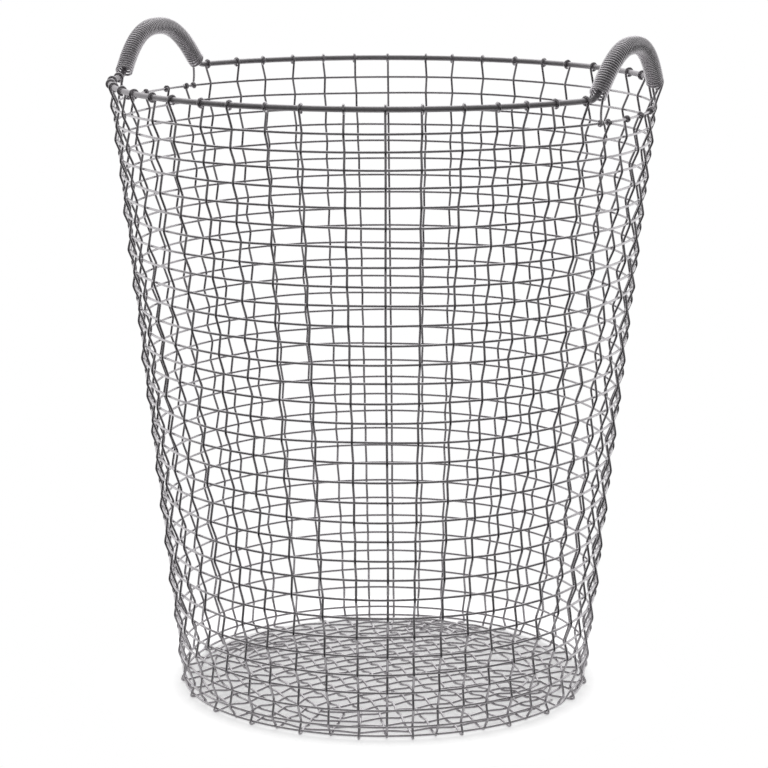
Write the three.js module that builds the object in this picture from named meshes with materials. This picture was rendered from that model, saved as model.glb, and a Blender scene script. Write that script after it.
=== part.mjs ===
// A tapered wire basket woven from crimped stakes and plain rings, with two coil-wrapped handles.
// Millimetres, +Z up, the floor at z = 0, the handles at +X and -X.

import * as THREE from 'three';

// Body of the basket, measured on the centrelines of its wires
const rimRadius = 237;
const rimHeight = 540;
const footRadius = 181;
const firstRingDrop = 18.8;
const lastRingRise = 24;
const footTurnPitch = 9;

// Rings lie this share closer than evenly at the rim, and as much wider at the foot
const ringCrowding = 0.048;

// Wire and rod
const wireDiameter = 2;
const rimRodDiameter = 4.8;
const clearance = 0.35;

// Counts of the weave
const stakeCount = 48;
const ringCount = 31;

// Handles and their coils
const handleWidth = 128;
const handleRise = 38;
const handleBendRun = 7;
const coilTurns = 18;
const coilPlay = 1.9;
const coilEndInset = 9;

// Base: rows and columns of wires cross in a square mesh, turned a count of stakes from the handles.
// Their ends fan out to the foot over the turns of a weft, and the mesh stands higher than the last turn.
const stakesToMesh = 7;
const meshPitch = 15.5;
const baseWeftTurns = 2;
const baseRise = 6;
const footRun = 6;

// Galvanised steel: the rod is a little darker and the coils a little lighter than the wire
const rodFinish = { color: 0x85878a, roughness: 0.35 };
const wireFinish = { color: 0x8f9194, roughness: 0.35 };
const coilFinish = { color: 0x97999b, roughness: 0.4 };
const steelMetalness = 0.9;

// Counts of facets
const rodSides = 6;
const archSteps = 14;
const bendSteps = 2;
const coilSteps = 6;

const rimHookSteps = 3;
const ringHookSteps = 3;

// Every wire has a triangular section of the same area as its round one, flat on its outward side
const wireTip = wireDiameter * Math.sqrt(Math.PI / (3 * Math.sqrt(3)));
const wireFlat = wireTip / 2;
const wireHalfWidth = wireTip * Math.sqrt(3) / 2;
const wireSection = [
  [wireFlat, wireHalfWidth],
  [-wireTip, 0],
  [wireFlat, -wireHalfWidth],
];

// The rim rod has a many-sided section of the same area as its round one, and hooks step round it alike
const hookStep = 2 * Math.PI / rodSides;
const rodAreaPerSide = Math.sin(2 * Math.PI / rodSides) / 2;
const rodCorner = rimRodDiameter / 2 * Math.sqrt(Math.PI / (rodSides * rodAreaPerSide));
const rodFlat = rodCorner * Math.cos(Math.PI / rodSides);
const rodSection = [];
for (let side = 0; side < rodSides; side += 1) {
  const turn = 2 * Math.PI * side / rodSides;
  rodSection.push([rodCorner * Math.cos(turn), rodCorner * Math.sin(turn)]);
}

// Two crossing wires lie tip to flat
const crossingReach = wireTip + wireFlat + clearance;

// The wall is a cone between the foot ring, which stands on the wires that run under it, and the rim
const footHeight = wireFlat + 2 * wireTip + clearance;
const wallTaper = (rimRadius - footRadius) / (rimHeight - footHeight);
const wallLean = Math.atan(wallTaper);
const stakeTurn = 2 * Math.PI / stakeCount;
const ringSegments = stakeCount / 2;
const ringTurn = 2 * Math.PI / ringSegments;

// Each ring is a polygon whose corners and middles of sides lie evenly about the wall
const cornerShare = 2 / (1 + Math.cos(ringTurn / 2));

function steel(finish) {
  return new THREE.MeshStandardMaterial({ ...finish, metalness: steelMetalness });
}

function radial(angle) {
  return new THREE.Vector3(Math.cos(angle), Math.sin(angle), 0);
}

function wallOutward(angle) {
  const outward = radial(angle).multiplyScalar(Math.cos(wallLean));
  outward.z = -Math.sin(wallLean);
  return outward;
}

function wallUpward(angle) {
  const upward = radial(angle).multiplyScalar(Math.sin(wallLean));
  upward.z = Math.cos(wallLean);
  return upward;
}

function wallRadius(height) {
  return footRadius + (height - footHeight) * wallTaper;
}

function stakeAngle(stake) {
  return (stake + 0.5) * stakeTurn;
}

// Levels of the wall from the foot up: the two turns of the foot ring, the rings and the rim
function wallLevels() {
  const levels = [];
  levels.push({ height: footHeight, reach: crossingReach });
  levels.push({ height: footHeight + footTurnPitch, reach: crossingReach });
  const lowest = footHeight + lastRingRise;
  const highest = rimHeight - firstRingDrop;
  for (let ring = 0; ring < ringCount; ring += 1) {
    const down = 1 - ring / (ringCount - 1);
    const drop = down * (1 - ringCrowding * (1 - down));
    levels.push({ height: highest - drop * (highest - lowest), reach: crossingReach });
  }
  levels.push({ height: rimHeight, reach: rodCorner + wireTip + clearance });
  levels.forEach((level, index) => {
    level.index = index;
    level.slope = 0;
    for (const other of [levels[index - 1], levels[index + 1]]) {
      if (other) {
        const rise = Math.abs(other.height - level.height);
        level.slope = Math.max(level.slope, (level.reach + other.reach) / rise);
      }
    }
    level.cornerRadius = wallRadius(level.height) * cornerShare;
    level.sideRadius = level.cornerRadius * Math.cos(ringTurn / 2);
  });
  return levels;
}

const levels = wallLevels();
const rimLevel = levels[levels.length - 1];
const topRingLevel = levels[levels.length - 2];

// Neighbouring stakes pass a level on opposite sides, and so does one stake at neighbouring levels
function passesOutside(level, stake) {
  return (level.index + stake) % 2 === 0;
}

// A ring's corners lie at the stakes that pass inside it
function ringRadiusAt(level, angle) {
  const sideStake = level.index % 2;
  const fromSide = angle - stakeAngle(sideStake);
  const withinSide = fromSide - ringTurn * Math.round(fromSide / ringTurn);
  return level.sideRadius / Math.cos(withinSide);
}

// A place on the wall: out from the ring's centreline along the wall's normal, and up along the wall
function wallPoint(radius, height, angle, out, up) {
  const point = radial(angle).multiplyScalar(radius);
  point.z = height;
  point.addScaledVector(wallOutward(angle), out);
  point.addScaledVector(wallUpward(angle), up);
  return point;
}

// Sweeps a section along points, with each section's first axis towards the given outward direction.
// Sections stand on the mitre of the bend, stretched along it so that the wire keeps its thickness.
function sweep(points, outwards, section, closed) {
  const count = points.length;
  const corners = section.length;
  const segments = closed ? count : count - 1;
  const positions = [];
  const indices = [];
  const direction = (from) => {
    const start = points[from % count];
    const end = points[(from + 1) % count];
    return end.clone().sub(start).normalize();
  };
  for (let index = 0; index < count; index += 1) {
    const isFirst = !closed && index === 0;
    const isLast = !closed && index === count - 1;
    const before = isFirst ? direction(0) : direction((index - 1 + count) % count);
    const after = isLast ? before.clone() : direction(index);
    const tangent = before.clone().add(after).normalize();
    const outward = outwards[index];
    const normal = outward.clone().addScaledVector(tangent, -outward.dot(tangent)).normalize();
    const binormal = tangent.clone().cross(normal);
    const bend = after.clone().sub(before);
    const sine = bend.length() / 2;
    const stretch = 1 / Math.sqrt(1 - sine * sine) - 1;
    bend.normalize();
    for (const [out, across] of section) {
      const offset = normal.clone().multiplyScalar(out).addScaledVector(binormal, across);
      offset.addScaledVector(bend, offset.dot(bend) * stretch);
      const corner = points[index].clone().add(offset);
      positions.push(corner.x, corner.y, corner.z);
    }
  }
  for (let segment = 0; segment < segments; segment += 1) {
    const near = segment * corners;
    const far = (segment + 1) % count * corners;
    for (let corner = 0; corner < corners; corner += 1) {
      const next = (corner + 1) % corners;
      indices.push(near + corner, near + next, far + corner);
      indices.push(near + next, far + next, far + corner);
    }
  }
  if (!closed) {
    const last = (count - 1) * corners;
    for (let corner = 1; corner < corners - 1; corner += 1) {
      indices.push(0, corner + 1, corner);
      indices.push(last, last + corner, last + corner + 1);
    }
  }
  const geometry = new THREE.BufferGeometry();
  geometry.setAttribute('position', new THREE.Float32BufferAttribute(positions, 3));
  geometry.setIndex(indices);
  geometry.computeVertexNormals();
  return geometry;
}

// A ring of the wall, turned about the basket's axis in as many sides as half its stakes
function ringGeometry(level) {
  const profile = [];
  for (const [out, up] of wireSection) {
    const radius = level.cornerRadius + out * Math.cos(wallLean) + up * Math.sin(wallLean);
    const height = level.height - out * Math.sin(wallLean) + up * Math.cos(wallLean);
    profile.push(new THREE.Vector2(radius, height));
  }
  profile.push(profile[0].clone());
  const cornerStake = (level.index + 1) % 2;
  const start = stakeAngle(cornerStake) + Math.PI / 2;
  const geometry = new THREE.LatheGeometry(profile, ringSegments, start);
  geometry.rotateX(Math.PI / 2);
  return geometry;
}

// The foot ring: one wire that goes round at the lower level, climbs between two stakes and goes round again
function footRingGeometry() {
  const [lower, upper] = levels;
  const endPart = 0.35;
  const points = [];
  const outwards = [];
  const place = (level, stake, radius) => {
    points.push(wallPoint(radius, level.height, stakeAngle(stake), 0, 0));
    outwards.push(wallOutward(stakeAngle(stake)));
  };
  const startStake = -endPart;
  place(lower, startStake, ringRadiusAt(lower, stakeAngle(startStake)));
  for (let stake = 1; stake < stakeCount; stake += 2) {
    place(lower, stake, lower.cornerRadius);
  }
  for (let stake = stakeCount; stake < 2 * stakeCount; stake += 2) {
    place(upper, stake, upper.cornerRadius);
  }
  const endStake = 2 * stakeCount - 1 + endPart;
  place(upper, endStake, ringRadiusAt(upper, stakeAngle(endStake)));
  return sweep(points, outwards, wireSection, false);
}

// Points of a hook round a rod or ring: from where the wire passes it, over the top and down the other side
function hook(radius, height, angle, startsOutside, hookRadius, steps) {
  const points = [];
  const outwards = [];
  const start = startsOutside ? 0 : Math.PI;
  const sense = startsOutside ? 1 : -1;
  for (let step = 0; step <= steps; step += 1) {
    const turn = start + sense * step * hookStep;
    const out = Math.cos(turn);
    const up = Math.sin(turn);
    points.push(wallPoint(radius, height, angle, hookRadius * out, hookRadius * up));
    const away = wallOutward(angle).multiplyScalar(out).addScaledVector(wallUpward(angle), up);
    outwards.push(away.multiplyScalar(sense));
  }
  return { points, outwards };
}

// A handle takes up this turn of the rim on each side of its middle, and its bends a little more
const handleHalfTurn = Math.asin(handleWidth / 2 / rimRadius);
const bendTurn = handleBendRun / rimRadius;
const hookTurn = (wireHalfWidth + clearance) / rimRadius;
const stakesPerHalfHandle = Math.ceil((handleHalfTurn + bendTurn + hookTurn) / stakeTurn - 0.5);

// Stakes below a handle end on the top ring, and all others on the rim
function isUnderHandle(stake) {
  const halfTurn = stakeCount / 2;
  const fromHandle = (stake + 0.5 + halfTurn) % halfTurn;
  const nearest = Math.min(fromHandle, halfTurn - fromHandle);
  return nearest < stakesPerHalfHandle;
}

// One upright, from the foot to the end of its hook
function uprightPoints(stake) {
  const angle = stakeAngle(stake);
  const endLevel = isUnderHandle(stake) ? topRingLevel : rimLevel;
  const points = [];
  const outwards = [];
  for (const level of levels.slice(0, endLevel.index)) {
    const outside = passesOutside(level, stake);
    const outReach = level.reach + level.slope * wireHalfWidth;
    const inReach = level.reach + wireHalfWidth * Math.tan(ringTurn / 2);
    const radius = outside ? level.sideRadius : level.cornerRadius;
    points.push(wallPoint(radius, level.height, angle, outside ? outReach : -inReach, 0));
    outwards.push(wallOutward(angle));
  }
  const outside = passesOutside(endLevel, stake);
  const facing = outside ? wireTip : wireFlat;
  const onRim = endLevel === rimLevel;
  const core = onRim ? rodFlat : wireTip;
  const hookRadius = (core + clearance + facing) / Math.cos(hookStep / 2);
  const radius = onRim ? rimRadius : ringRadiusAt(endLevel, angle);
  const steps = onRim ? rimHookSteps : ringHookSteps;
  const end = hook(radius, endLevel.height, angle, outside, hookRadius, steps);
  points.push(...end.points);
  outwards.push(...end.outwards);
  return { points, outwards };
}

// Base: half of the stake wires are rows of the mesh and half are columns, with a stake at each end
const wiresPerSide = stakeCount / 4;
const meshTurn = stakesToMesh * stakeTurn;
const firstSideStake = stakesToMesh - wiresPerSide / 2;
const middleWire = (wiresPerSide - 1) / 2;
const fanReach = (middleWire + 1) * meshPitch;
const floor = new THREE.Vector3(0, 0, -1);
const floorHeight = wireFlat;

// A point of the base, so far out towards one side of the mesh and so far across that side
function basePoint(side, along, across) {
  const sideTurn = meshTurn + side * Math.PI / 2;
  const point = radial(sideTurn).multiplyScalar(along);
  return point.addScaledVector(radial(sideTurn + Math.PI / 2), across);
}

// Where a turn of the weft crosses a stake: the first turn is square, and the later ones get rounder
function weftPlace(turn, stake) {
  const place = (stake - firstSideStake + stakeCount) % stakeCount;
  const across = (place % wiresPerSide - middleWire) * meshPitch;
  const fanStart = basePoint(Math.floor(place / wiresPerSide), fanReach, across);
  const fanEnd = radial(stakeAngle(stake)).multiplyScalar(footRadius);
  return fanStart.lerp(fanEnd, turn / baseWeftTurns);
}

// How far below a wire another has to pass if it slopes up from there
function passUnder(slope) {
  return wireFlat + clearance + wireTip * Math.hypot(1, slope) + slope * wireHalfWidth;
}

const meshSlope = 2 * crossingReach / (meshPitch - wireHalfWidth);
const meshUnder = passUnder(meshSlope);
const turnGap = weftPlace(0, firstSideStake).distanceTo(weftPlace(1, firstSideStake));
const weftSlope = (2 * crossingReach + baseRise) / (turnGap - wireHalfWidth);
const weftUnder = passUnder(weftSlope);
const meshHeight = floorHeight + weftUnder + baseRise;

function weftPoint(turn, stake) {
  return weftPlace(turn, stake).setZ(meshHeight - baseRise * turn / (baseWeftTurns - 1));
}

// One end of a stake wire, from the tip of its upright to where it passes the first turn of the weft
function stakeEnd(stake) {
  const upright = uprightPoints(stake);
  const points = [...upright.points].reverse();
  const outwards = [...upright.outwards].reverse();
  const place = (point, outward) => {
    points.push(point);
    outwards.push(outward);
  };
  const foot = upright.points[0].clone().setZ(floorHeight);
  const turnsUnderFootRing = passesOutside(levels[0], stake);
  const ringRunEnd = radial(stakeAngle(stake)).multiplyScalar(footRadius - footRun);
  const runEnd = turnsUnderFootRing ? ringRunEnd : weftPlace(baseWeftTurns - 1, stake);
  const runOutward = foot.clone().sub(runEnd).setZ(0).normalize();
  place(foot, runOutward.add(floor));
  if (turnsUnderFootRing) {
    place(runEnd.setZ(floorHeight), floor);
  }
  for (let turn = baseWeftTurns - 1; turn >= 0; turn -= 1) {
    const isOver = (turn + stake) % 2 === 1;
    const crossing = weftPoint(turn, stake);
    crossing.z += isOver ? crossingReach : -weftUnder;
    place(crossing, floor);
  }
  return { points, outwards };
}

// A stake wire: down one upright, across the mesh and up the opposite upright.
// The rows, which run to sides 0 and 2, pass over and under the columns, which lie level.
function stakeWireGeometry(side, wire) {
  const nearStake = firstSideStake + side * wiresPerSide + wire;
  const farStake = firstSideStake + (side + 3) * wiresPerSide - 1 - wire;
  const across = (wire - middleWire) * meshPitch;
  const crossings = [];
  if (side === 0) {
    for (let column = 0; column < wiresPerSide; column += 1) {
      const isOver = (nearStake + column) % 2 === 0;
      const crossing = basePoint(side, (middleWire - column) * meshPitch, across);
      crossings.push(crossing.setZ(meshHeight + (isOver ? crossingReach : -meshUnder)));
    }
  } else {
    const levelReach = middleWire * meshPitch + 2 * wireHalfWidth;
    crossings.push(basePoint(side, levelReach, across).setZ(meshHeight));
    crossings.push(basePoint(side, -levelReach, across).setZ(meshHeight));
  }
  const near = stakeEnd(nearStake);
  const far = stakeEnd(farStake % stakeCount);
  const points = [...near.points, ...crossings, ...far.points.reverse()];
  const outwards = [...near.outwards, ...crossings.map(() => floor), ...far.outwards.reverse()];
  return sweep(points, outwards, wireSection, false);
}

// The weft: one wire that goes round the mesh and steps out between two stakes to go round again
function weftGeometry() {
  const endPart = 0.35;
  const points = [];
  for (let turn = 0; turn < baseWeftTurns; turn += 1) {
    const first = stakesToMesh;
    const last = stakesToMesh + stakeCount - 1;
    points.push(weftPoint(turn, first).lerp(weftPoint(turn, first - 1), endPart));
    for (let stake = first; stake <= last; stake += 1) {
      const sidePlace = (stake - firstSideStake) % wiresPerSide;
      const isSquareCorner = sidePlace === 0 || sidePlace === wiresPerSide - 1;
      if (turn > 0 || isSquareCorner) {
        points.push(weftPoint(turn, stake));
      }
    }
    points.push(weftPoint(turn, last).lerp(weftPoint(turn, last + 1), endPart));
  }
  return sweep(points, points.map(() => floor), wireSection, false);
}

// A handle arch is a parabola that stands on the rim and leans out with the wall
const archHalfWidth = handleWidth / 2;
const archFootRadius = rimRadius * Math.cos(handleHalfTurn);

function archPoint(across) {
  const rise = handleRise * (1 - (across / archHalfWidth) ** 2);
  return new THREE.Vector3(archFootRadius + rise * wallTaper, across, rimHeight + rise);
}

const archOutward = new THREE.Vector3(Math.cos(wallLean), 0, -Math.sin(wallLean));

function rimPoint(angle) {
  const point = radial(angle).multiplyScalar(rimRadius);
  point.z = rimHeight;
  return point;
}

// Half of the rim rod: over the handle at +X, then round to the foot of the opposite handle
function halfRimPoints() {
  const points = [];
  const outwards = [];
  const archStart = archHalfWidth - handleBendRun;
  const bend = (sense) => new THREE.QuadraticBezierCurve3(
    rimPoint(sense * (handleHalfTurn + bendTurn)),
    rimPoint(sense * handleHalfTurn),
    archPoint(sense * archStart),
  );
  const placeBend = (curve, reversed) => {
    for (let step = 0; step <= bendSteps; step += 1) {
      const share = step / bendSteps;
      points.push(curve.getPoint(reversed ? 1 - share : share));
      outwards.push(archOutward);
    }
  };
  placeBend(bend(-1), false);
  for (let step = 1; step < archSteps; step += 1) {
    points.push(archPoint(archStart * (2 * step / archSteps - 1)));
    outwards.push(archOutward);
  }
  placeBend(bend(1), true);
  for (let stake = stakesPerHalfHandle; stake < stakeCount / 2 - stakesPerHalfHandle; stake += 1) {
    points.push(rimPoint(stakeAngle(stake)));
    outwards.push(wallOutward(stakeAngle(stake)));
  }
  return { points, outwards };
}

function rimGeometry() {
  const half = halfRimPoints();
  const opposite = (vector) => new THREE.Vector3(-vector.x, -vector.y, vector.z);
  const points = [...half.points, ...half.points.map(opposite)];
  const outwards = [...half.outwards, ...half.outwards.map(opposite)];
  return sweep(points, outwards, rodSection, true);
}

// A tail of the coil: it hooks under the top ring, beside the stakes below the handle, from outside to inside
function coilTail(sense) {
  const angle = sense * stakesPerHalfHandle * stakeTurn;
  const radius = ringRadiusAt(topRingLevel, angle);
  const hookRadius = (wireTip + clearance + wireTip) / Math.cos(hookStep / 2);
  const points = [];
  const outwards = [];
  for (let step = 0; step <= ringHookSteps; step += 1) {
    const turn = -step * hookStep;
    const out = Math.cos(turn);
    const up = Math.sin(turn);
    points.push(wallPoint(radius, topRingLevel.height, angle, hookRadius * out, hookRadius * up));
    const away = wallOutward(angle).multiplyScalar(out).addScaledVector(wallUpward(angle), up);
    outwards.push(away);
  }
  return { points, outwards };
}

// The coil's curls wind round the arch from one foot to the other
const coilRadius = (rodCorner + coilPlay + wireTip) / Math.cos(Math.PI / coilSteps);

function coilCurls() {
  const points = [];
  const outwards = [];
  const halfRun = archHalfWidth - coilEndInset;
  const arch = [];
  const samples = coilTurns * coilSteps;
  for (let sample = 0; sample <= samples; sample += 1) {
    arch.push(archPoint(halfRun * (2 * sample / samples - 1)));
  }
  const route = new THREE.CatmullRomCurve3(arch);
  route.arcLengthDivisions = 4 * samples;
  for (let step = 0; step <= samples; step += 1) {
    const centre = route.getPointAt(step / samples);
    const along = route.getTangentAt(step / samples);
    const over = archOutward.clone().cross(along).negate();
    const turn = 2 * Math.PI * step / coilSteps;
    const away = archOutward.clone().multiplyScalar(Math.cos(turn)).addScaledVector(over, Math.sin(turn));
    points.push(centre.addScaledVector(away, coilRadius));
    outwards.push(away);
  }
  return { points, outwards };
}

// The least gap between two stretches of the coil that lie at least half a turn apart
function leastGap(points) {
  let least = Infinity;
  for (let first = 0; first < points.length; first += 1) {
    for (let second = first + coilSteps / 2; second < points.length; second += 1) {
      least = Math.min(least, points[first].distanceTo(points[second]));
    }
  }
  return least - 2 * wireTip;
}

function coilGeometry() {
  const start = coilTail(-1);
  const end = coilTail(1);
  const curls = coilCurls();
  const points = [...start.points.reverse(), ...curls.points, ...end.points];
  const outwards = [...start.outwards.reverse(), ...curls.outwards, ...end.outwards];
  console.log(`grip coil: least gap to itself ${leastGap(points).toFixed(2)} mm`);
  return sweep(points, outwards, wireSection, false);
}

const basket = new THREE.Group();
basket.name = 'wire_basket';

function add(name, geometry, material) {
  const mesh = new THREE.Mesh(geometry, material);
  mesh.name = name;
  basket.add(mesh);
  return mesh;
}

const numbered = (name, number) => `${name}_${String(number).padStart(2, '0')}`;

add('rim_rod', rimGeometry(), steel(rodFinish));

const coil = coilGeometry();
add('grip_coil_right', coil, steel(coilFinish));
add('grip_coil_left', coil.clone(), steel(coilFinish)).rotation.z = Math.PI;

for (let ring = 1; ring <= ringCount; ring += 1) {
  const level = levels[rimLevel.index - ring];
  add(numbered('ring_wire', ring), ringGeometry(level), steel(wireFinish));
}

add('foot_ring', footRingGeometry(), steel(wireFinish));

for (let wire = 0; wire < wiresPerSide; wire += 1) {
  add(numbered('stake_wire', wire + 1), stakeWireGeometry(0, wire), steel(wireFinish));
  add(numbered('stake_wire', wiresPerSide + wire + 1), stakeWireGeometry(1, wire), steel(wireFinish));
}

add('base_weft', weftGeometry(), steel(wireFinish));

export default basket;
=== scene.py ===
import math

import bpy
import numpy as np
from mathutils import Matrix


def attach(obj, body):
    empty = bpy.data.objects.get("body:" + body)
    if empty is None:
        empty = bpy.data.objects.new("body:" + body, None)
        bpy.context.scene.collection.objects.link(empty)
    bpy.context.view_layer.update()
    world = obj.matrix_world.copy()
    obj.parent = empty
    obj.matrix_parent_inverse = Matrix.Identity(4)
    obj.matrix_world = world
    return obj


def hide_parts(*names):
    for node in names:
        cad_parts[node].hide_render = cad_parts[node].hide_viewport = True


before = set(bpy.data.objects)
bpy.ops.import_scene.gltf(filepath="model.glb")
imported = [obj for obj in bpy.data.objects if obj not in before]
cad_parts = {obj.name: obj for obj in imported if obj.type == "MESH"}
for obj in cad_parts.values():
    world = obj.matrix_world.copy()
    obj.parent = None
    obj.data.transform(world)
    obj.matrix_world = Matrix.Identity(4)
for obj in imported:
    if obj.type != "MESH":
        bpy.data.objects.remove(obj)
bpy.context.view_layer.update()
scene = bpy.context.scene

# Lengths on the basket are in millimetres until a mesh is made
METRE = 0.001
UP = (0.0, 0.0, 1.0)
DOWN = (0.0, 0.0, -1.0)

# Start of the random draws that make the weave uneven
SEED = 31

# Body of the basket, on the centrelines of its wires. At the rim the rings lie closer than evenly, by
# a share of their spacing
RIM_RADIUS = 237.0
RIM_HEIGHT = 540.0
FOOT_RADIUS = 181.0
FOOT_HEIGHT = 3.6
FOOT_TURN_HEIGHT = 11.6
TOP_RING_HEIGHT = 521.2
LOW_RING_HEIGHT = 28.24
RING_CROWDING = 0.048
WALL_TAPER = (RIM_RADIUS - FOOT_RADIUS) / (RIM_HEIGHT - FOOT_HEIGHT)
WALL_LEAN = math.atan(WALL_TAPER)

# Counts of the weave
STAKES = 48
RINGS = 31
FOOT_TURNS = 2
STAKE_TURN = 2 * math.pi / STAKES
UNDER_HANDLE = (0, 1, 46, 47, 22, 23, 24, 25)

# Wire and rod. A reach is the way from the middle of one to the middle of the other where they touch.
# Where a ring and a stake cross, the ring gives way a little and the stake goes round it by the rest
WIRE_RADIUS = 1.06
ROD_RADIUS = 2.45
TOUCH = 0.05
WIRE_REACH = 2 * WIRE_RADIUS + TOUCH
ROD_REACH = ROD_RADIUS + WIRE_RADIUS + TOUCH
RING_REACH = 0.12
STAKE_REACH = WIRE_REACH - RING_REACH

# Steps round and along the tubes, and the bevel of their ends as a share of their radius
WIRE_SIDES = 8
ROD_SIDES = 16
STEPS_PER_STAKE = 4
RING_STEPS = STEPS_PER_STAKE * STAKES
END_BEVEL = 0.35

# How sharply a crimped wire bends where it passes another, from 0, a sine, towards 1, a zigzag, and the
# phases at which its points lie
WALL_CRIMP = 0.97
WALL_PHASES = np.radians([0, 12, 27, 50, 90, 130, 153, 168])
BASE_CRIMP = 0.95
BASE_PHASES = np.radians([0, 18, 40, 65, 90, 115, 140, 162])

# The front is the side that the camera sees
VIEW_AZIMUTH = math.radians(27.5)
FRONT_ANGLE = VIEW_AZIMUTH - math.pi / 2

# The hand-woven rings don't lie level: how far these, counted from the rim, are lifted in front and behind.
# The others follow between them, and all rise, fall and swell a little on their way round
LIFTED_RINGS = (1, 4, 8, 15, 23, 28, 31)
FRONT_LIFT = (-1.1, 2.3, 0.9, 0.3, -3.8, -4.1, -1.6)
BACK_LIFT = (0.6, 3.2, 2.7, 3.4, 5.0, 4.7, 2.4)
RING_WOBBLE = 0.4
FOOT_WOBBLE = 0.15
SWELL_SHARE = 0.8
LIFT_WAVES = (2, 7)
SWELL_WAVES = (2, 6)

# Nor do the stakes stand evenly. In front and behind they are drawn to one side: how far at the foot and at
# the rim, round which angles there, and how far on to each side, in degrees
FRONT = math.degrees(FRONT_ANGLE)
FRONT_DRIFT = dict(at_foot=2.1, at_rim=1.5, foot_angle=FRONT - 5, rim_angle=FRONT + 9, spread=30)
BACK_DRIFT = dict(at_foot=-1.8, at_rim=0.0, foot_angle=FRONT + 180, rim_angle=FRONT + 180, spread=75)

# Each stake also stands a little aside, fully so from this share of the height, and sways on its way up
STAKE_SHIFT = math.radians(0.28)
FULL_SHIFT_SHARE = 0.25
STAKE_SWAY = math.radians(0.22)
SWAY_WAVES = (1, 3)

# Foot ring: where it starts, in spaces between stakes, how many steps short of two turns it ends, how many
# steps before the end of its first turn it starts to climb, and in how many steps it climbs
FOOT_START = 0.3
FOOT_GAP_STEPS = 5
CLIMB_LEAD_STEPS = 3
CLIMB_STEPS = 4

# Stakes at the foot: every second one turns under the foot ring, and the others bend up inside it
UNDER_TURNS = np.radians([-105, -90, -72, -54, -36, -18])
UNDER_BULGE = 1.4
INSIDE_TURNS = np.radians([-90, -68, -45, -22])
INSIDE_BEND = 2.6

# Hooks round the rim rod and eyelets round the top ring: how far they turn, in degrees, and shift sideways
HOOK_TURN = (262, 284)
HOOK_SHIFT = 0.7
EYELET_TURN = (370, 400)
EYELET_SHIFT = 2.2
LOOP_STEP = math.radians(15)

# Handles: two arches of the rim rod, each with a bend at both ends
HANDLE_RISE = 40.0
ARCH_POWER = 2.35
ARCH_HALF_WIDTH = 64.0
HANDLE_HALF_TURN = math.asin(ARCH_HALF_WIDTH / RIM_RADIUS)
ARCH_FOOT_RADIUS = RIM_RADIUS * math.cos(HANDLE_HALF_TURN)
BEND_RUN = 7.0
BEND_TURN = BEND_RUN / RIM_RADIUS
ARCH_POINTS = 61
BEND_POINTS = 9
RIM_POINTS = 62

# Grips: a coil round each arch, from a point of one bend to one of the other, along a smoothed route. On
# the inside of a bend at least a share of its pitch is left
COIL_RADIUS = 6.8
COIL_PITCH = 2.18
COIL_STEPS = 24
COIL_FIRST_POINT = 5
ROUTE_POINTS = 1200
ROUTE_SMOOTHING = 41
LEAST_INNER_SHARE = 0.5

# Tails of the coils: where they reach the top ring, how far they bulge, the shares of their span in which
# they leave the coil and come down along the wall, and how far they turn round the ring
TAIL_TURN = math.radians(14)
TAIL_BULGE = 5.0
TAIL_POINTS = 14
TAIL_START_SHARE = 0.35
TAIL_END_SHARE = 0.4
TAIL_LOOP = math.radians(395)

# Base: a square mesh of rows and columns, whose ends fan out to the foot over the turns of a weft
WIRES_PER_SIDE = STAKES // 4
STAKES_TO_MESH = 7
MESH_TURN = STAKES_TO_MESH * STAKE_TURN
FIRST_SIDE_STAKE = STAKES_TO_MESH - WIRES_PER_SIDE // 2
MIDDLE_WIRE = (WIRES_PER_SIDE - 1) / 2
MESH_PITCH = 15.5
FAN_REACH = (MIDDLE_WIRE + 1) * MESH_PITCH

# Weft: its turns, the number of stakes over which each steps out to the next, and how far its free ends
# stand out, as a share of a space between stakes
WEFT_TURNS = 5
WEFT_STEP = 8
WEFT_END = 0.32

# Heights on the base, which rises to its middle. At a crossing two wires share the way between their middles
BASE_TOUCH = 0.08
CROSSING = 2 * WIRE_RADIUS + BASE_TOUCH
ROW_SWING = 0.35
COLUMN_SWING = CROSSING - ROW_SWING
STAKE_SWING = 1.4
WEFT_SWING = CROSSING - STAKE_SWING
FLOOR_WIRE = WIRE_RADIUS + TOUCH
BASE_EDGE = 172.0
BASE_EDGE_HEIGHT = FLOOR_WIRE + STAKE_SWING
DOME_RISE = 9.2

# Shifts of the base's wires in plan: their size, the number and scale of the waves that make them up, and
# the power with which they fade out towards the foot. Then the bends in plan are rounded a few times
BASE_WARP = 0.9
WARPS = 6
WARP_LENGTH = 60.0
WARP_FADE = 4
SOFTENING = 3

# Map of a tube's surface: strips along it, with a margin round each, and its ends in one corner
STRIP_START = 0.01
STRIP_LENGTH = 0.98
STRIP_EDGE = 0.06
STRIP_WIDTH = 0.88
CAP_RADIUS = 0.004
CAP_PLACE = 0.005

# Galvanised steel: about how many clouds, crystals and grains lie along a metre, their shares in its tone,
# between which tones its colour changes, and how much the grain stands out
CLOUD_SCALE = 38.0
CLOUD_DETAIL = 3.0
CLOUD_SHARE = 0.6
CRYSTAL_SCALE = 420.0
CRYSTAL_SHARE = 0.25
GRAIN_SCALE = 1500.0
GRAIN_DETAIL = 2.0
GRAIN_SHARE = 0.3
DARKEST_AT = 0.3
LIGHTEST_AT = 0.85
GRAIN_BUMP = 0.25
GRAIN_DEPTH = 0.00008
STEEL_LOOKS = {
    "wire_steel": dict(dark=(0.59, 0.57, 0.59), light=(0.77, 0.743, 0.77), smoothest=0.18, roughest=0.3),
    "rod_steel": dict(dark=(0.54, 0.522, 0.54), light=(0.69, 0.667, 0.69), smoothest=0.46, roughest=0.56),
    "coil_steel": dict(dark=(0.77, 0.744, 0.77), light=(0.92, 0.889, 0.92), smoothest=0.2, roughest=0.3),
}

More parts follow.
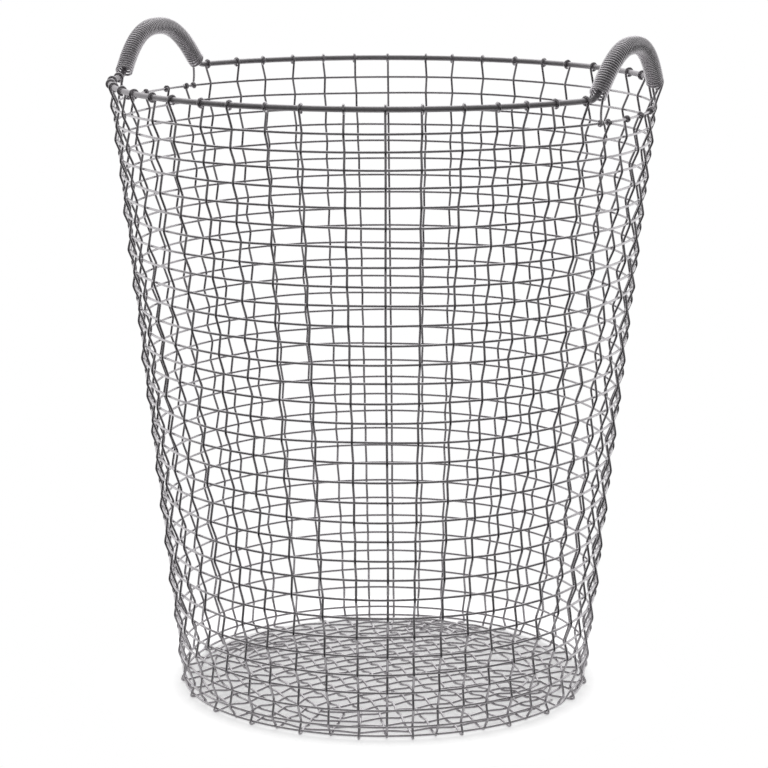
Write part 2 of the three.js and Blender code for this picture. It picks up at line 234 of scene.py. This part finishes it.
# Camera
VIEW_PITCH = math.radians(11.67055)
VIEW_DISTANCE = 2.40227
VIEW_HEIGHT = 0.7667
VIEW_LENS = 129.04
VIEW_SENSOR = 36.0
TOWARDS_CAMERA = (math.sin(VIEW_AZIMUTH), -math.cos(VIEW_AZIMUTH), 0.0)

# Floor, in metres: a disc of paper that is lifted towards white for the camera by a painted glow, least
# under the basket, where the weaker glow is painted shade on top of the basket's real shadow
FLOOR_RADIUS = 0.26
FLOOR_SIDES = 96
PAPER_COLOUR = (0.9, 0.9, 0.9, 1)
PAPER_MIRRORED = 0.25
LIFT_START = 0.16
LIFT_END = 0.215
# Painted shade: the smaller lift under the basket makes the floor there darker than its real shadow alone
# does
LEAST_LIFT = 0.42
MOST_LIFT = 0.8

# Light of the studio: it changes with how far a ray points a certain way, from -1 to 1. Where the change
# starts and ends, and how bright it is before and after it
BACKDROP_GLOW = (-0.6, -0.05, 0.88, 0.02)
OVERHEAD_GLOW = (-0.35, 0.25, 0.0, 0.17)
SWEEP_GLOW = (0.55, 0.95, 0.0, 0.35)
WHITE = (1, 1, 1, 1)

# Lamp: a weak and very soft sun
SKY_STRENGTH = 0.4
SKY_SPREAD = math.radians(60)
SKY_TILT = math.radians(-38)

rng = np.random.default_rng(SEED)


def radial(angle):
    return np.array([math.cos(angle), math.sin(angle), 0.0])


def eased(share):
    """A share from 0 to 1 that starts and ends gently."""
    return share * share * (3 - 2 * share)


def crimp(phase, sharpness):
    """A wave from 1 at phase 0 to -1 at pi, rounded at its tips and straight between them."""
    return math.asin(sharpness * math.cos(phase)) / math.asin(sharpness)


def between(start, finish, phase, sharpness):
    """An offset on the way from one crossing to the next."""
    return (start + finish) / 2 + (start - finish) / 2 * crimp(phase, sharpness)


def ripple(size, lowest, highest):
    """A smooth random wave round the basket, with the given typical size."""
    orders = np.arange(lowest, highest + 1)
    heights = rng.normal(0, size / math.sqrt(len(orders)), len(orders))
    shifts = rng.uniform(0, 2 * math.pi, len(orders))
    return lambda angle: float(np.sum(heights * np.cos(orders * angle + shifts)))


def wall_radius(height):
    return FOOT_RADIUS + (height - FOOT_HEIGHT) * WALL_TAPER


def wall_axes(angle):
    """Directions out of the wall, up along it and sideways along it."""
    upward = np.array(UP)
    out = radial(angle) * math.cos(WALL_LEAN) - upward * math.sin(WALL_LEAN)
    up = radial(angle) * math.sin(WALL_LEAN) + upward * math.cos(WALL_LEAN)
    return out, up, radial(angle + math.pi / 2)


def wall_place(height, angle, out):
    """A place on the wall, moved out along its normal."""
    place = radial(angle) * (wall_radius(height) + out * math.cos(WALL_LEAN))
    place[2] = height - out * math.sin(WALL_LEAN)
    return place


class Level:
    """A level of the wall, where a wire or the rim goes round."""

    def __init__(self, index, height, wobble):
        self.index = index
        self.height = height
        self.lift = ripple(wobble, *LIFT_WAVES)
        self.swell = ripple(wobble * SWELL_SHARE, *SWELL_WAVES)
        self.front = 0.0
        self.back = 0.0

    def height_at(self, angle):
        tilt = (self.front - self.back) / 2 * math.cos(angle - FRONT_ANGLE)
        return self.height + (self.front + self.back) / 2 + tilt + self.lift(angle)

    def place_at(self, angle):
        return wall_place(self.height_at(angle), angle, self.swell(angle))


# The levels from the floor up: two turns of the foot ring, the rings and the rim
levels = [Level(0, FOOT_HEIGHT, 0.0), Level(1, FOOT_TURN_HEIGHT, FOOT_WOBBLE)]
for ring in range(RINGS):
    down = 1 - ring / (RINGS - 1)
    drop = down * (1 - RING_CROWDING * (1 - down)) * (TOP_RING_HEIGHT - LOW_RING_HEIGHT)
    levels.append(Level(FOOT_TURNS + ring, TOP_RING_HEIGHT - drop, RING_WOBBLE))
levels.append(Level(FOOT_TURNS + RINGS, RIM_HEIGHT, 0.0))
RIM = levels[-1]
TOP_RING = levels[-2]
for number in range(1, RINGS + 1):
    level = levels[RIM.index - number]
    level.front = float(np.interp(number, LIFTED_RINGS, FRONT_LIFT))
    level.back = float(np.interp(number, LIFTED_RINGS, BACK_LIFT))


def side_of(level, stake):
    """1 where a stake passes a level on the outside, and -1 where it passes on the inside."""
    return 1 if (level.index + stake) % 2 == 0 else -1


stake_shift = rng.normal(0, STAKE_SHIFT, STAKES)
stake_sway = [ripple(STAKE_SWAY, *SWAY_WAVES) for stake in range(STAKES)]


def drift(angle, share, at_foot, at_rim, foot_angle, rim_angle, spread):
    """How far a stake at an angle is drawn to one side, at a share of the height."""
    away = math.degrees(angle) - foot_angle * (1 - share) - rim_angle * share
    away = abs((away + 180) % 360 - 180)
    fade = math.cos(min(1.0, away / spread) * math.pi / 2) ** 2
    return math.radians(at_foot * (1 - share) + at_rim * share) * fade


def stake_angle(stake, height):
    """Where a stake stands at a height: hand-woven stakes wander a little from even spacing."""
    share = height / RIM_HEIGHT
    even = (stake + 0.5) * STAKE_TURN
    wander = stake_shift[stake] * min(1.0, share / FULL_SHIFT_SHARE)
    wander += stake_sway[stake](math.pi * share) * share
    return even + wander + drift(even, share, **FRONT_DRIFT) + drift(even, share, **BACK_DRIFT)


def math_node(tree, operation, first, second):
    """A number worked out from two others, each a plain number or the output of a node."""
    node = tree.nodes.new("ShaderNodeMath")
    node.operation = operation
    for socket, value in zip(node.inputs, (first, second)):
        if isinstance(value, float):
            socket.default_value = value
        else:
            tree.links.new(value, socket)
    return node.outputs[0]


def smooth_change(tree, value, start, finish, low, high):
    """A gentle change from low to high while a value goes from start to finish."""
    node = tree.nodes.new("ShaderNodeMapRange")
    node.interpolation_type = "SMOOTHSTEP"
    node.inputs["From Min"].default_value = start
    node.inputs["From Max"].default_value = finish
    node.inputs["To Min"].default_value = low
    node.inputs["To Max"].default_value = high
    tree.links.new(value, node.inputs["Value"])
    return node.outputs[0]


def steel(name, dark, light, smoothest, roughest):
    """Dull galvanised steel: cloudy zinc, a fine crystal grain and small changes of gloss."""
    material = bpy.data.materials.new(name)
    material.use_nodes = True
    tree = material.node_tree
    shader = tree.nodes["Principled BSDF"]
    shader.inputs["Metallic"].default_value = 1.0
    place = tree.nodes.new("ShaderNodeTexCoord").outputs["Object"]

    def noise(scale, detail):
        node = tree.nodes.new("ShaderNodeTexNoise")
        node.inputs["Scale"].default_value = scale
        node.inputs["Detail"].default_value = detail
        tree.links.new(place, node.inputs["Vector"])
        return node.outputs["Fac"]

    crystals = tree.nodes.new("ShaderNodeTexVoronoi")
    crystals.inputs["Scale"].default_value = CRYSTAL_SCALE
    tree.links.new(place, crystals.inputs["Vector"])
    crystal = tree.nodes.new("ShaderNodeSeparateColor")
    tree.links.new(crystals.outputs["Color"], crystal.inputs[0])
    cloud = noise(CLOUD_SCALE, CLOUD_DETAIL)
    grain = noise(GRAIN_SCALE, GRAIN_DETAIL)
    tone = math_node(tree, "MULTIPLY", cloud, CLOUD_SHARE)
    for part, share in ((crystal.outputs[0], CRYSTAL_SHARE), (grain, GRAIN_SHARE)):
        tone = math_node(tree, "ADD", tone, math_node(tree, "MULTIPLY", part, share))

    ramp = tree.nodes.new("ShaderNodeValToRGB")
    darkest, lightest = ramp.color_ramp.elements
    darkest.position = DARKEST_AT
    darkest.color = (*dark, 1)
    lightest.position = LIGHTEST_AT
    lightest.color = (*light, 1)
    tree.links.new(tone, ramp.inputs[0])
    tree.links.new(ramp.outputs[0], shader.inputs["Base Color"])

    gloss = tree.nodes.new("ShaderNodeMapRange")
    gloss.inputs["To Min"].default_value = smoothest
    gloss.inputs["To Max"].default_value = roughest
    tree.links.new(tone, gloss.inputs["Value"])
    tree.links.new(gloss.outputs[0], shader.inputs["Roughness"])

    bump = tree.nodes.new("ShaderNodeBump")
    bump.inputs["Strength"].default_value = GRAIN_BUMP
    bump.inputs["Distance"].default_value = GRAIN_DEPTH
    tree.links.new(grain, bump.inputs["Height"])
    tree.links.new(bump.outputs[0], shader.inputs["Normal"])
    return material


steels = {slot: steel(slot, **look) for slot, look in STEEL_LOOKS.items()}


def frames_along(points, closed):
    """Tangents, and normals that turn no more than the path does."""
    if closed:
        ahead = np.roll(points, -1, axis=0) - np.roll(points, 1, axis=0)
    else:
        ahead = np.gradient(points, axis=0)
    tangents = ahead / np.linalg.norm(ahead, axis=1)[:, None]
    normal = np.cross(tangents[0], np.eye(3)[np.argmin(np.abs(tangents[0]))])
    normals = np.empty_like(points)
    for index, tangent in enumerate(tangents):
        normal = normal - tangent * normal.dot(tangent)
        normal = normal / np.linalg.norm(normal)
        normals[index] = normal
    if closed:
        back = normals[-1] - tangents[0] * normals[-1].dot(tangents[0])
        twist = math.atan2(np.cross(back, normals[0]).dot(tangents[0]), back.dot(normals[0]))
        turn = twist * np.arange(len(points))[:, None] / len(points)
        normals = normals * np.cos(turn) + np.cross(tangents, normals) * np.sin(turn)
    return tangents, normals


def tube_rings(points, radius, around, closed):
    """Rings of corners along a path, with a small bevel at its ends if it is open."""
    tangents, normals = frames_along(points, closed)
    binormals = np.cross(tangents, normals)
    offsets = np.cos(around)[None, :, None] * normals[:, None]
    offsets += np.sin(around)[None, :, None] * binormals[:, None]
    rings = points[:, None] + radius * offsets
    if closed:
        return rings
    bevel = END_BEVEL * radius
    first = points[0] - bevel * tangents[0] + (radius - bevel) * offsets[0]
    last = points[-1] + bevel * tangents[-1] + (radius - bevel) * offsets[-1]
    return np.concatenate([first[None], rings, last[None]])


def strip_edges(rings, spans, radius):
    """How many strips a tube's map is cut in, and for each span its strip and its two ends along it."""
    middles = rings.mean(axis=1)
    steps = np.linalg.norm(np.diff(middles, axis=0, append=middles[:1]), axis=1)
    strips = max(1, round(math.sqrt(steps[:spans].sum() / (2 * math.pi * radius))))
    per_strip = math.ceil(spans / strips)
    run = np.concatenate([[0], np.cumsum(steps)])
    starts = range(0, spans, per_strip)
    longest = max(run[min(spans, start + per_strip)] - run[start] for start in starts)
    edges = []
    for span in range(spans):
        strip = span // per_strip
        left, right = (run[span:span + 2] - run[strip * per_strip]) / longest
        edges.append((strip, STRIP_START + STRIP_LENGTH * left, STRIP_START + STRIP_LENGTH * right))
    return strips, edges


def make_piece(node, slot, path, radius, sides, closed=False):
    """One round wire or rod along a path, in the place of a node."""
    around = 2 * math.pi * np.arange(sides) / sides
    rings = tube_rings(np.asarray(path, float), radius, around, closed)
    spans = len(rings) if closed else len(rings) - 1
    strips, edges = strip_edges(rings, spans, radius)
    faces = []
    uv = []
    for span, (strip, left, right) in enumerate(edges):
        near = span * sides
        far = (span + 1) % len(rings) * sides
        for side in range(sides):
            after = (side + 1) % sides
            faces.append((near + side, near + after, far + after, far + side))
            low = (strip + STRIP_EDGE + STRIP_WIDTH * side / sides) / strips
            high = (strip + STRIP_EDGE + STRIP_WIDTH * (side + 1) / sides) / strips
            uv += [(left, low), (left, high), (right, high), (right, low)]
    smooth = [True] * len(faces)
    if not closed:
        end = spans * sides
        faces.append(tuple(range(sides - 1, -1, -1)))
        faces.append(tuple(range(end, end + sides)))
        cap = CAP_PLACE + CAP_RADIUS * np.stack([np.cos(around), np.sin(around)], axis=1)
        uv += cap[::-1].tolist() + cap.tolist()
        smooth += [False, False]

    name = "basket_" + node
    mesh = bpy.data.meshes.new(name)
    mesh.from_pydata(rings.reshape(-1, 3) * METRE, [], faces)
    mesh.polygons.foreach_set("use_smooth", smooth)
    mesh.uv_layers.new(name="OFBake").data.foreach_set("uv", np.ravel(uv))
    mesh.materials.append(steels[slot])
    mesh.update()
    piece = bpy.data.objects.new(name, mesh)
    scene.collection.objects.link(piece)
    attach(piece, "root")
    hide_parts(node)


def make_wire(node, path, closed=False):
    make_piece(node, "wire_steel", path, WIRE_RADIUS, WIRE_SIDES, closed)


def ring_path(level):
    """Once round the wall, giving way a little at each stake."""
    points = []
    for step in range(RING_STEPS):
        angle = 2 * math.pi * step / RING_STEPS
        swing = math.cos((angle / STAKE_TURN - 0.5 - level.index) * math.pi)
        points.append(wall_place(level.height_at(angle), angle, level.swell(angle) - RING_REACH * swing))
    return points


def foot_ring_path():
    """Twice round the foot, with a climb between two stakes."""
    lower, upper = levels[:FOOT_TURNS]
    points = []
    for step in range(FOOT_TURNS * RING_STEPS - FOOT_GAP_STEPS):
        angle = STAKE_TURN * (FOOT_START + step / STEPS_PER_STAKE)
        climb = eased(min(1.0, max(0.0, (step - RING_STEPS + CLIMB_LEAD_STEPS) / CLIMB_STEPS)))
        height = lower.height_at(angle) * (1 - climb) + upper.height_at(angle) * climb
        out = lower.swell(angle) * (1 - climb) + upper.swell(angle) * climb
        points.append(wall_place(height, angle, out))
    return points


for number in range(1, RINGS + 1):
    make_wire(f"ring_wire_{number:02d}", ring_path(levels[RIM.index - number]), closed=True)
make_wire("foot_ring", foot_ring_path())


def stake_reach(level):
    """How far out a stake passes a level: rings give way a little, the rim and the foot ring don't."""
    if level is RIM:
        return ROD_REACH
    return WIRE_REACH if level.index < FOOT_TURNS else STAKE_REACH


def stake_offset(level, stake, angle):
    return level.swell(angle) + side_of(level, stake) * stake_reach(level)


def crimped(stake, below, above):
    """The stretch of a stake from one level to just under the next."""
    angle = stake_angle(stake, below.height)
    angle_above = stake_angle(stake, above.height)
    low = below.height_at(angle)
    high = above.height_at(angle_above)
    start = stake_offset(below, stake, angle)
    finish = stake_offset(above, stake, angle_above)
    points = []
    for phase in WALL_PHASES:
        share = phase / math.pi
        height = low + (high - low) * share
        turn = angle + (angle_above - angle) * share
        points.append(wall_place(height, turn, between(start, finish, phase, WALL_CRIMP)))
    return points


def loop(centre, axes, side, reach, turn, shift):
    """A wire wound round a rod or a ring, from the side where it comes to it."""
    out, up, along = axes
    steps = round(abs(turn) / LOOP_STEP)
    points = []
    for step in range(steps + 1):
        angle = turn * step / steps
        away = out * side * math.cos(angle) + up * math.sin(angle)
        points.append(centre + reach * away + along * shift * step / steps)
    return points


def upright(stake):
    """One upright, from the foot up to the end of its hook or eyelet."""
    end = TOP_RING if stake in UNDER_HANDLE else RIM
    points = []
    for below, above in zip(levels[:end.index], levels[1:end.index + 1]):
        points += crimped(stake, below, above)
    angle = stake_angle(stake, end.height)
    winding = (end.place_at(angle), wall_axes(angle), side_of(end, stake))
    if end is RIM:
        return points + loop(*winding, ROD_REACH, math.radians(rng.uniform(*HOOK_TURN)), HOOK_SHIFT)
    return points + loop(*winding, WIRE_REACH, math.radians(rng.uniform(*EYELET_TURN)), EYELET_SHIFT)


def foot_turn(stake):
    """From the floor just inside the foot ring, under it or up inside it, to its level."""
    angle = stake_angle(stake, 0.0)
    points = []
    if side_of(levels[0], stake) > 0:
        for turn in UNDER_TURNS:
            reach = WIRE_REACH - UNDER_BULGE * math.sin(turn)
            place = radial(angle) * (FOOT_RADIUS + reach * math.cos(turn))
            place[2] = FOOT_HEIGHT + (FOOT_HEIGHT - FLOOR_WIRE) * math.sin(turn)
            points.append(place)
    else:
        bend_radius = FOOT_RADIUS - WIRE_REACH - INSIDE_BEND
        for turn in INSIDE_TURNS:
            place = radial(angle) * (bend_radius + INSIDE_BEND * math.cos(turn))
            place[2] = FLOOR_WIRE + INSIDE_BEND + INSIDE_BEND * math.sin(turn)
            points.append(place)
    return points


def base_place(side, along, across):
    """A place in the plan of the base, so far out towards one side of the mesh and so far across it."""
    turn = MESH_TURN + side * math.pi / 2
    return radial(turn) * along + radial(turn + math.pi / 2) * across


def step_out(stake):
    """How far a turn of the weft has stepped out to the next one where it crosses a stake."""
    left = STAKES - (stake - STAKES_TO_MESH) % STAKES
    return eased(max(0.0, 1 - left / (WEFT_STEP + 1)))


def weft_turns(stake):
    """How many turns of the weft cross a stake: the last one ends where the others step out."""
    return WEFT_TURNS - 1 if step_out(stake) else WEFT_TURNS


def weft_place(turn, stake):
    """Where a turn of the weft crosses a stake: the first turn is square and the later ones get rounder."""
    side, wire = divmod((stake - FIRST_SIDE_STAKE) % STAKES, WIRES_PER_SIDE)
    start = base_place(side, FAN_REACH, (wire - MIDDLE_WIRE) * MESH_PITCH)
    share = (turn + step_out(stake)) / WEFT_TURNS
    return start * (1 - share) + radial(stake_angle(stake, 0.0)) * FOOT_RADIUS * share


def over_weft(turn, stake):
    """1 where a stake passes over a turn of the weft, and -1 where it passes under it."""
    return 1 if (turn + stake) % 2 == 0 else -1


warp_waves = rng.normal(0, 1 / WARP_LENGTH, (WARPS, 2))
warp_shifts = rng.uniform(0, 2 * math.pi, WARPS)
warp_ways = rng.normal(0, BASE_WARP / math.sqrt(WARPS), (WARPS, 2))


def on_base(place, offset):
    """A place in the plan, shifted a little as hand-woven wires are, and so far above the domed base."""
    share = min(1.0, math.hypot(place[0], place[1]) / FOOT_RADIUS)
    shift = np.sin(warp_waves @ place[:2] + warp_shifts) @ warp_ways * (1 - share ** WARP_FADE)
    x, y = place[:2] + shift
    dome = max(0.0, BASE_EDGE ** 2 - x * x - y * y) / FOOT_RADIUS ** 2
    return np.array([x, y, BASE_EDGE_HEIGHT + DOME_RISE * dome + offset])


def woven(knots):
    """A wire on the base through knots (place, offset), with its bends in plan rounded."""
    points = []
    for (place, offset), (next_place, next_offset) in zip(knots, knots[1:]):
        for phase in BASE_PHASES:
            share = phase / math.pi
            swing = between(offset, next_offset, phase, BASE_CRIMP)
            points.append(on_base(place * (1 - share) + next_place * share, swing))
    points.append(on_base(*knots[-1]))
    path = np.array(points)
    for step in range(SOFTENING):
        path[1:-1, :2] = path[1:-1, :2] / 2 + (path[:-2, :2] + path[2:, :2]) / 4
    return list(path)


def base_path(side, wire, near, far):
    """The stretch of a stake wire on the base, between the last turns of the weft at its two ends."""
    knots = []
    for turn in reversed(range(weft_turns(near))):
        knots.append((weft_place(turn, near), STAKE_SWING * over_weft(turn, near)))
    swing = COLUMN_SWING if side else ROW_SWING
    for crossing in range(WIRES_PER_SIDE):
        place = base_place(side, (MIDDLE_WIRE - crossing) * MESH_PITCH, (wire - MIDDLE_WIRE) * MESH_PITCH)
        knots.append((place, swing if (wire + crossing) % 2 == 0 else -swing))
    for turn in range(weft_turns(far)):
        knots.append((weft_place(turn, far), STAKE_SWING * over_weft(turn, far)))
    return woven(knots)


def stake_path(side, wire):
    """A row or a column of the base, with the uprights at its two ends."""
    near = (FIRST_SIDE_STAKE + side * WIRES_PER_SIDE + wire) % STAKES
    far = (FIRST_SIDE_STAKE + (side + 3) * WIRES_PER_SIDE - 1 - wire) % STAKES
    start = (foot_turn(near) + upright(near))[::-1]
    return start + base_path(side, wire, near, far) + foot_turn(far) + upright(far)


def beyond(knot, neighbour):
    """A free end of the weft, a little past the last stake that it crosses."""
    return knot[0] * (1 + WEFT_END) - neighbour[0] * WEFT_END, 0.0


def weft_path():
    """Round and round the mesh, over and under the stakes."""
    knots = []
    for turn in range(WEFT_TURNS):
        for step in range(STAKES):
            stake = (STAKES_TO_MESH + step) % STAKES
            if turn < weft_turns(stake):
                knots.append((weft_place(turn, stake), -WEFT_SWING * over_weft(turn, stake)))
    return woven([beyond(*knots[:2]), *knots, beyond(knots[-1], knots[-2])])


for side in (0, 1):
    for wire in range(WIRES_PER_SIDE):
        make_wire(f"stake_wire_{side * WIRES_PER_SIDE + wire + 1:02d}", stake_path(side, wire))
make_wire("base_weft", weft_path())


def arch_place(across):
    rise = HANDLE_RISE * (1 - abs(across / ARCH_HALF_WIDTH) ** ARCH_POWER)
    return np.array([ARCH_FOOT_RADIUS + rise * WALL_TAPER, across, RIM_HEIGHT + rise])


def rim_place(angle):
    place = radial(angle) * RIM_RADIUS
    place[2] = RIM_HEIGHT
    return place


def bend_places(sense):
    """The bend from the rim into the arch."""
    start = rim_place(sense * (HANDLE_HALF_TURN + BEND_TURN))
    corner = rim_place(sense * HANDLE_HALF_TURN)
    finish = arch_place(sense * (ARCH_HALF_WIDTH - BEND_RUN))
    points = []
    for share in np.linspace(0, 1, BEND_POINTS):
        rest = 1 - share
        points.append(rest ** 2 * start + 2 * share * rest * corner + share ** 2 * finish)
    return points


def handle_path():
    """Bend, arch and bend of the handle at +X, from its -Y side to its +Y side."""
    reach = ARCH_HALF_WIDTH - BEND_RUN
    arch = [arch_place(across) for across in np.linspace(-reach, reach, ARCH_POINTS)[1:-1]]
    return bend_places(-1) + arch + bend_places(1)[::-1]


def rim_path():
    """A handle and the rim as far as the next one, and the same again on the other side."""
    first_angle = HANDLE_HALF_TURN + BEND_TURN
    angles = np.linspace(first_angle, math.pi - first_angle, RIM_POINTS)[1:-1]
    half = handle_path() + [rim_place(angle) for angle in angles]
    return half + [place * [-1, -1, 1] for place in half]


make_piece("rim_rod", "rod_steel", rim_path(), ROD_RADIUS, ROD_SIDES, closed=True)


def each_axis(function, places):
    """Places made by a function of one coordinate at a time."""
    return np.stack([function(places[:, axis]) for axis in range(3)], axis=-1)


def coil_path():
    """Close turns round an arch, spaced so that they just clear each other on the inside of its bends."""
    route = np.array(handle_path())[COIL_FIRST_POINT:-COIL_FIRST_POINT]
    run = np.concatenate([[0], np.cumsum(np.linalg.norm(np.diff(route, axis=0), axis=1))])
    dense = np.linspace(0, run[-1], ROUTE_POINTS)
    centre = each_axis(lambda values: np.interp(dense, run, values), route)
    kernel = np.hanning(ROUTE_SMOOTHING) / np.hanning(ROUTE_SMOOTHING).sum()
    half = ROUTE_SMOOTHING // 2
    before = 2 * centre[:1] - centre[half:0:-1]
    after = 2 * centre[-1:] - centre[-2:-half - 2:-1]
    padded = np.concatenate([before, centre, after])
    centre = each_axis(lambda values: np.convolve(values, kernel, "valid"), padded)
    along = np.gradient(centre, dense, axis=0)
    along /= np.linalg.norm(along, axis=1)[:, None]
    bend = np.linalg.norm(np.gradient(along, dense, axis=0), axis=1)
    pitch = COIL_PITCH / np.maximum(LEAST_INNER_SHARE, 1 - bend * COIL_RADIUS)
    turns = np.concatenate([[0], np.cumsum(np.diff(dense) / ((pitch[1:] + pitch[:-1]) / 2))])
    whole = math.floor(turns[-1])
    turns *= whole / turns[-1]
    lean_out = wall_axes(0.0)[0]
    points = []
    for step in range(whole * COIL_STEPS + 1):
        turn = step / COIL_STEPS
        middle = each_axis(lambda values: np.interp(turn, turns, values), centre)
        ahead = each_axis(lambda values: np.interp(turn, turns, values), along)
        out = lean_out - ahead * lean_out.dot(ahead)
        out /= np.linalg.norm(out)
        over = np.cross(ahead, out)
        angle = 2 * math.pi * turn
        points.append(middle + COIL_RADIUS * (out * math.cos(angle) + over * math.sin(angle)))
    return points


def coil_tail(start, before, sense, handle_angle):
    """From the end of the coil down to the top ring, as it lies at that handle, and round it."""
    angle = sense * TAIL_TURN
    ring_angle = handle_angle + angle
    centre = wall_place(TOP_RING.height_at(ring_angle), angle, TOP_RING.swell(ring_angle))
    out, up, along = wall_axes(angle)
    inward = along * -sense
    target = centre + out * WIRE_REACH
    span = np.linalg.norm(target - start)
    ahead = (start - before) / np.linalg.norm(start - before)
    first = start + ahead * span * TAIL_START_SHARE
    second = target + up * span * TAIL_END_SHARE - inward * TAIL_BULGE
    points = []
    for share in np.linspace(0, 1, TAIL_POINTS)[1:]:
        rest = 1 - share
        points.append(rest ** 3 * start + 3 * rest ** 2 * share * first
                      + 3 * rest * share ** 2 * second + share ** 3 * target)
    return points + loop(centre, (out, up, inward), 1, WIRE_REACH, -TAIL_LOOP, EYELET_SHIFT)[1:]


curls = coil_path()
for name, facing in (("grip_coil_right", 1), ("grip_coil_left", -1)):
    handle_angle = math.atan2(0, facing)
    coil = coil_tail(curls[0], curls[1], -1, handle_angle)[::-1] + curls
    coil += coil_tail(curls[-1], curls[-2], 1, handle_angle)
    path = [place * [facing, facing, 1] for place in coil]
    make_piece(name, "coil_steel", path, WIRE_RADIUS, WIRE_SIDES)


def white_paper():
    """White paper, which the camera sees lifted towards white by a painted glow and metal mirrors dimly. The
    glow is least under the basket, painted shade added to its real shadow.
    """
    material = bpy.data.materials.new("white_paper")
    material.use_nodes = True
    tree = material.node_tree
    tree.nodes.clear()
    matt = tree.nodes.new("ShaderNodeBsdfDiffuse")
    matt.inputs["Color"].default_value = PAPER_COLOUR
    rays = tree.nodes.new("ShaderNodeLightPath").outputs
    mirrored = math_node(tree, "MAXIMUM", rays["Is Glossy Ray"], rays["Is Transmission Ray"])
    dimmed = math_node(tree, "MULTIPLY", mirrored, PAPER_MIRRORED)
    seen = math_node(tree, "MAXIMUM", rays["Is Camera Ray"], dimmed)
    spot = tree.nodes.new("ShaderNodeTexCoord").outputs["Object"]
    reach = tree.nodes.new("ShaderNodeVectorMath")
    reach.operation = "LENGTH"
    tree.links.new(spot, reach.inputs[0])
    # Painted shade: the glow is weaker under the basket, so the floor there is darker than the real shadow
    # makes it
    lift = smooth_change(tree, reach.outputs["Value"], LIFT_START, LIFT_END, LEAST_LIFT, MOST_LIFT)
    glow = tree.nodes.new("ShaderNodeEmission")
    tree.links.new(math_node(tree, "MULTIPLY", seen, lift), glow.inputs["Strength"])
    both = tree.nodes.new("ShaderNodeAddShader")
    tree.links.new(matt.outputs[0], both.inputs[0])
    tree.links.new(glow.outputs[0], both.inputs[1])
    surface = tree.nodes.new("ShaderNodeOutputMaterial")
    tree.links.new(both.outputs[0], surface.inputs["Surface"])
    return material


def make_floor():
    mesh = bpy.data.meshes.new("floor")
    turns = [2 * math.pi * side / FLOOR_SIDES for side in range(FLOOR_SIDES)]
    edge = [(FLOOR_RADIUS * math.cos(turn), FLOOR_RADIUS * math.sin(turn), 0) for turn in turns]
    mesh.from_pydata(edge, [], [tuple(range(FLOOR_SIDES))])
    mesh.materials.append(white_paper())
    floor = bpy.data.objects.new("floor", mesh)
    scene.collection.objects.link(floor)


def make_studio():
    """White to the camera. The steel mirrors a bright backdrop, a dim sky and floor and a dark front."""
    world = bpy.data.worlds.new("studio")
    scene.world = world
    world.use_nodes = True
    tree = world.node_tree
    ray = tree.nodes.new("ShaderNodeTexCoord").outputs["Generated"]
    light = tree.nodes.new("ShaderNodeLightPath").outputs["Is Camera Ray"]
    for way, change in ((TOWARDS_CAMERA, BACKDROP_GLOW), (UP, OVERHEAD_GLOW), (DOWN, SWEEP_GLOW)):
        facing = tree.nodes.new("ShaderNodeVectorMath")
        facing.operation = "DOT_PRODUCT"
        facing.inputs[1].default_value = way
        tree.links.new(ray, facing.inputs[0])
        light = math_node(tree, "MAXIMUM", light, smooth_change(tree, facing.outputs["Value"], *change))
    background = tree.nodes["Background"]
    background.inputs["Color"].default_value = WHITE
    tree.links.new(light, background.inputs["Strength"])


def make_sky_lamp():
    data = bpy.data.lights.new("soft_sky", "SUN")
    data.energy = SKY_STRENGTH
    data.angle = SKY_SPREAD
    lamp = bpy.data.objects.new("soft_sky", data)
    lamp.rotation_euler = (SKY_TILT, 0, VIEW_AZIMUTH)
    scene.collection.objects.link(lamp)


def make_camera():
    data = bpy.data.cameras.new("camera")
    data.lens = VIEW_LENS
    data.sensor_width = VIEW_SENSOR
    camera = bpy.data.objects.new("camera", data)
    camera.location = (VIEW_DISTANCE * TOWARDS_CAMERA[0], VIEW_DISTANCE * TOWARDS_CAMERA[1], VIEW_HEIGHT)
    camera.rotation_euler = (math.pi / 2 - VIEW_PITCH, 0, VIEW_AZIMUTH)
    scene.collection.objects.link(camera)
    scene.camera = camera


scene.view_settings.view_transform = "Standard"
make_floor()
make_studio()
make_sky_lamp()
make_camera()
